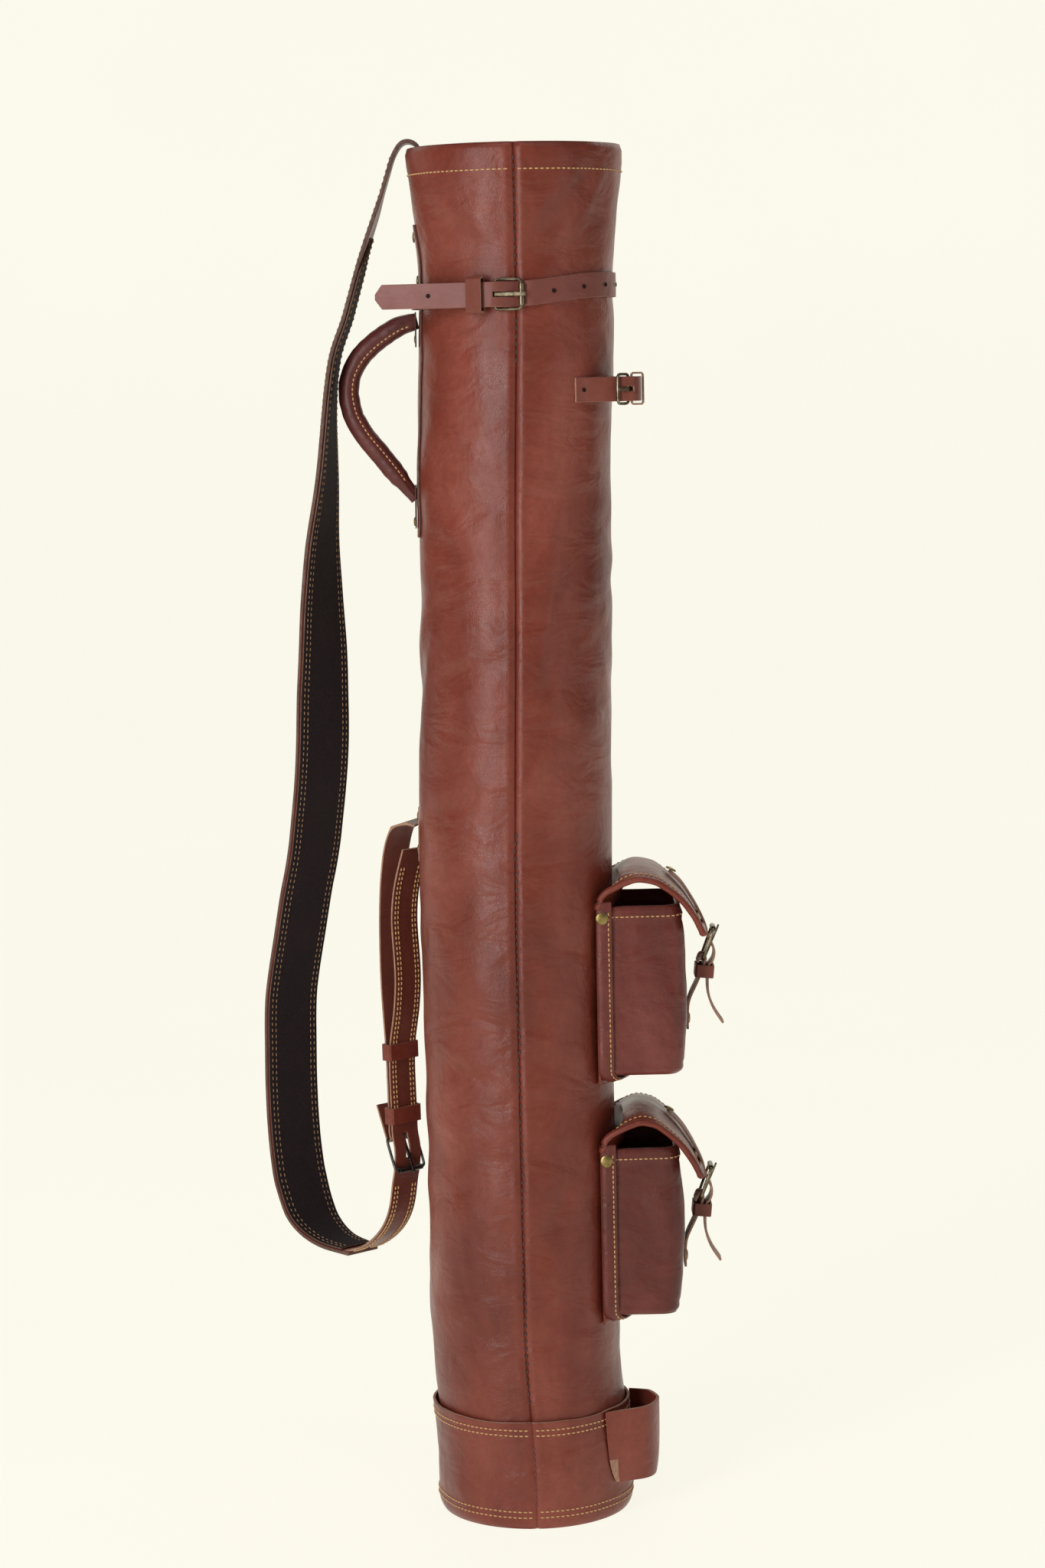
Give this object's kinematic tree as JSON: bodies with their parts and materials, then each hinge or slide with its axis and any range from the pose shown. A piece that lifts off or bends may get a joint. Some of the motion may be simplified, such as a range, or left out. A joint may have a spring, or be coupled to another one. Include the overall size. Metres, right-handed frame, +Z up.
{
  "type": "golf bag",
  "caption": "Open leather golf bag tube with a flared mouth, buckled ball pockets, umbrella strap and sleeve, carry handle and padded shoulder strap.",
  "frame": {"origin": "centre of the base's underside", "axes": "+Z up along the tube, +X towards the ball pockets, -X towards the handle and shoulder strap, +Y along the far side seam"},
  "size_m": [0.3104, 0.21, 0.8954],
  "materials": {
    "brown_leather": "semi-gloss, smooth, softly dented",
    "strap_leather": "semi-gloss, fine grain",
    "edge_leather": "matt raw cut edge",
    "lining_leather": "matt worn flesh side",
    "stiff_board": "matt pressed fibre board",
    "old_brass": "aged, satin",
    "gunmetal": "dark oxidised"
  },
  "bodies": {
    "bag": {"body_panel_right": "brown_leather", "body_panel_left": "brown_leather", "rim_facing": "brown_leather", "base_disc": "brown_leather", "base_cuff_right": "brown_leather", "base_cuff_left": "brown_leather", "umbrella_sleeve": "brown_leather", "handle_tab_upper": "brown_leather", "handle_tab_lower": "brown_leather", "upper_pocket_back": "brown_leather", "upper_pocket_pouch": "brown_leather", "upper_flap_yoke": "brown_leather", "upper_chape": "brown_leather", "upper_keeper": "brown_leather", "upper_pocket_binding": "strap_leather", "upper_pocket_rivet_near": "old_brass", "upper_pocket_rivet_far": "old_brass", "lower_pocket_back": "brown_leather", "lower_pocket_pouch": "brown_leather", "lower_flap_yoke": "brown_leather", "lower_chape": "brown_leather", "lower_keeper": "brown_leather", "lower_pocket_binding": "strap_leather", "lower_pocket_rivet_near": "old_brass", "lower_pocket_rivet_far": "old_brass", "stiffener_tube": "stiff_board", "band_strap": "strap_leather", "band_chape": "strap_leather", "band_keeper": "strap_leather", "umbrella_strap": "strap_leather", "umbrella_chape": "strap_leather", "umbrella_keeper": "strap_leather", "handle_backing": "edge_leather", "strap_anchor_tab": "edge_leather", "strap_top_tab": "edge_leather"},
    "upper_flap_leaf": {"upper_flap": "brown_leather", "upper_flap_tongue": "brown_leather"},
    "upper_frame": {"upper_buckle_frame": "old_brass"},
    "upper_roller": {"upper_buckle_roller": "old_brass"},
    "upper_prong": {"upper_buckle_prong": "old_brass"},
    "lower_flap_leaf": {"lower_flap": "brown_leather", "lower_flap_tongue": "brown_leather"},
    "lower_frame": {"lower_buckle_frame": "old_brass"},
    "lower_roller": {"lower_buckle_roller": "old_brass"},
    "lower_prong": {"lower_buckle_prong": "old_brass"},
    "band_frame": {"band_buckle_frame": "old_brass"},
    "band_roller": {"band_buckle_roller": "old_brass"},
    "band_prong": {"band_buckle_prong": "old_brass"},
    "umbrella_frame": {"umbrella_buckle_frame": "old_brass"},
    "umbrella_prong": {"umbrella_buckle_prong": "old_brass"},
    "carry_handle": {"handle_roll": "brown_leather"},
    "shoulder_strap": {"strap_pad": "strap_leather", "strap_lining": "lining_leather", "strap_tongue": "strap_leather", "strap_chape": "strap_leather", "strap_keeper_lower": "strap_leather"},
    "strap_frame": {"strap_buckle_frame": "gunmetal"},
    "strap_roller": {"strap_buckle_roller": "gunmetal"},
    "strap_prong": {"strap_buckle_prong": "gunmetal"},
    "sliding_keeper": {"strap_keeper_upper": "strap_leather"}
  },
  "joints": [
    {"name": "upper_flap_hinge", "type": "hinge", "parent": "bag", "child": "upper_flap_leaf", "pos_m": [0.064, 0, 0.4245], "axis": [0, -1, 0], "range_deg": [0, 80], "deforming": ["upper_flap_tongue"]},
    {"name": "upper_buckle_hinge", "type": "hinge", "parent": "bag", "child": "upper_frame", "pos_m": [0.1161, 0, 0.3636], "axis": [0, 1, 0], "range_deg": [0, 20]},
    {"name": "upper_prong_hinge", "type": "hinge", "parent": "upper_frame", "child": "upper_prong", "pos_m": [0.1161, 0, 0.3636], "axis": [0, 1, 0], "range_deg": [0, 62]},
    {"name": "upper_roller_spin", "type": "hinge", "parent": "upper_frame", "child": "upper_roller", "pos_m": [0.1234, 0, 0.3831], "axis": [0, 1, 0], "continuous": true},
    {"name": "lower_flap_hinge", "type": "hinge", "parent": "bag", "child": "lower_flap_leaf", "pos_m": [0.064, 0, 0.2655], "axis": [0, -1, 0], "range_deg": [0, 40], "deforming": ["lower_flap_tongue"]},
    {"name": "lower_buckle_hinge", "type": "hinge", "parent": "bag", "child": "lower_frame", "pos_m": [0.1121, 0, 0.2046], "axis": [0, 1, 0], "range_deg": [0, 20]},
    {"name": "lower_prong_hinge", "type": "hinge", "parent": "lower_frame", "child": "lower_prong", "pos_m": [0.1121, 0, 0.2046], "axis": [0, 1, 0], "range_deg": [0, 62]},
    {"name": "lower_roller_spin", "type": "hinge", "parent": "lower_frame", "child": "lower_roller", "pos_m": [0.1194, 0, 0.2241], "axis": [0, 1, 0], "continuous": true},
    {"name": "band_buckle_hinge", "type": "hinge", "parent": "bag", "child": "band_frame", "pos_m": [-0.00963, -0.06487, 0.7955], "axis": [0, 0, -1], "range_deg": [0, 25], "deforming": ["band_strap"]},
    {"name": "band_prong_hinge", "type": "hinge", "parent": "band_frame", "child": "band_prong", "pos_m": [-0.00963, -0.06487, 0.7955], "axis": [0, 0, -1], "range_deg": [0, 66]},
    {"name": "band_roller_spin", "type": "hinge", "parent": "band_frame", "child": "band_roller", "pos_m": [0.00708, -0.06691, 0.7955], "axis": [0, 0, 1], "continuous": true},
    {"name": "umbrella_buckle_hinge", "type": "hinge", "parent": "bag", "child": "umbrella_frame", "pos_m": [0.0735, -0.0375, 0.735], "axis": [0, 0, 1], "range_deg": [0, 25], "deforming": ["umbrella_strap"]},
    {"name": "umbrella_prong_hinge", "type": "hinge", "parent": "umbrella_frame", "child": "umbrella_prong", "pos_m": [0.0735, -0.0375, 0.735], "axis": [0, 0, 1], "range_deg": [0, 66]},
    {"name": "handle_swing", "type": "hinge", "parent": "bag", "child": "carry_handle", "pos_m": [-0.0656, 0, 0.7795], "axis": [0.0267, 0, 0.9996], "range_deg": [-35, 35]},
    {"name": "strap_swing", "type": "hinge", "parent": "bag", "child": "shoulder_strap", "pos_m": [-0.0665, 0.0138, 0.452], "axis": [0.0011, -0.0316, 0.9995], "range_deg": [-8, 60], "deforming": ["strap_pad", "strap_lining", "strap_tongue", "strap_chape"]},
    {"name": "strap_buckle_hinge", "type": "hinge", "parent": "shoulder_strap", "child": "strap_frame", "pos_m": [-0.08557, 0.03718, 0.2405], "axis": [-0.7431, -0.6691, 0], "range_deg": [0, 25]},
    {"name": "strap_prong_hinge", "type": "hinge", "parent": "strap_frame", "child": "strap_prong", "pos_m": [-0.08557, 0.03718, 0.2405], "axis": [-0.7431, -0.6691, 0], "range_deg": [0, 66]},
    {"name": "strap_roller_spin", "type": "hinge", "parent": "strap_frame", "child": "strap_roller", "pos_m": [-0.07955, 0.03049, 0.2195], "axis": [-0.7431, -0.6691, 0], "continuous": true},
    {"name": "keeper_slide", "type": "slide", "parent": "shoulder_strap", "child": "sliding_keeper", "axis": [0, 0, 1], "range_m": [-0.004, 0.004]}
  ]
}
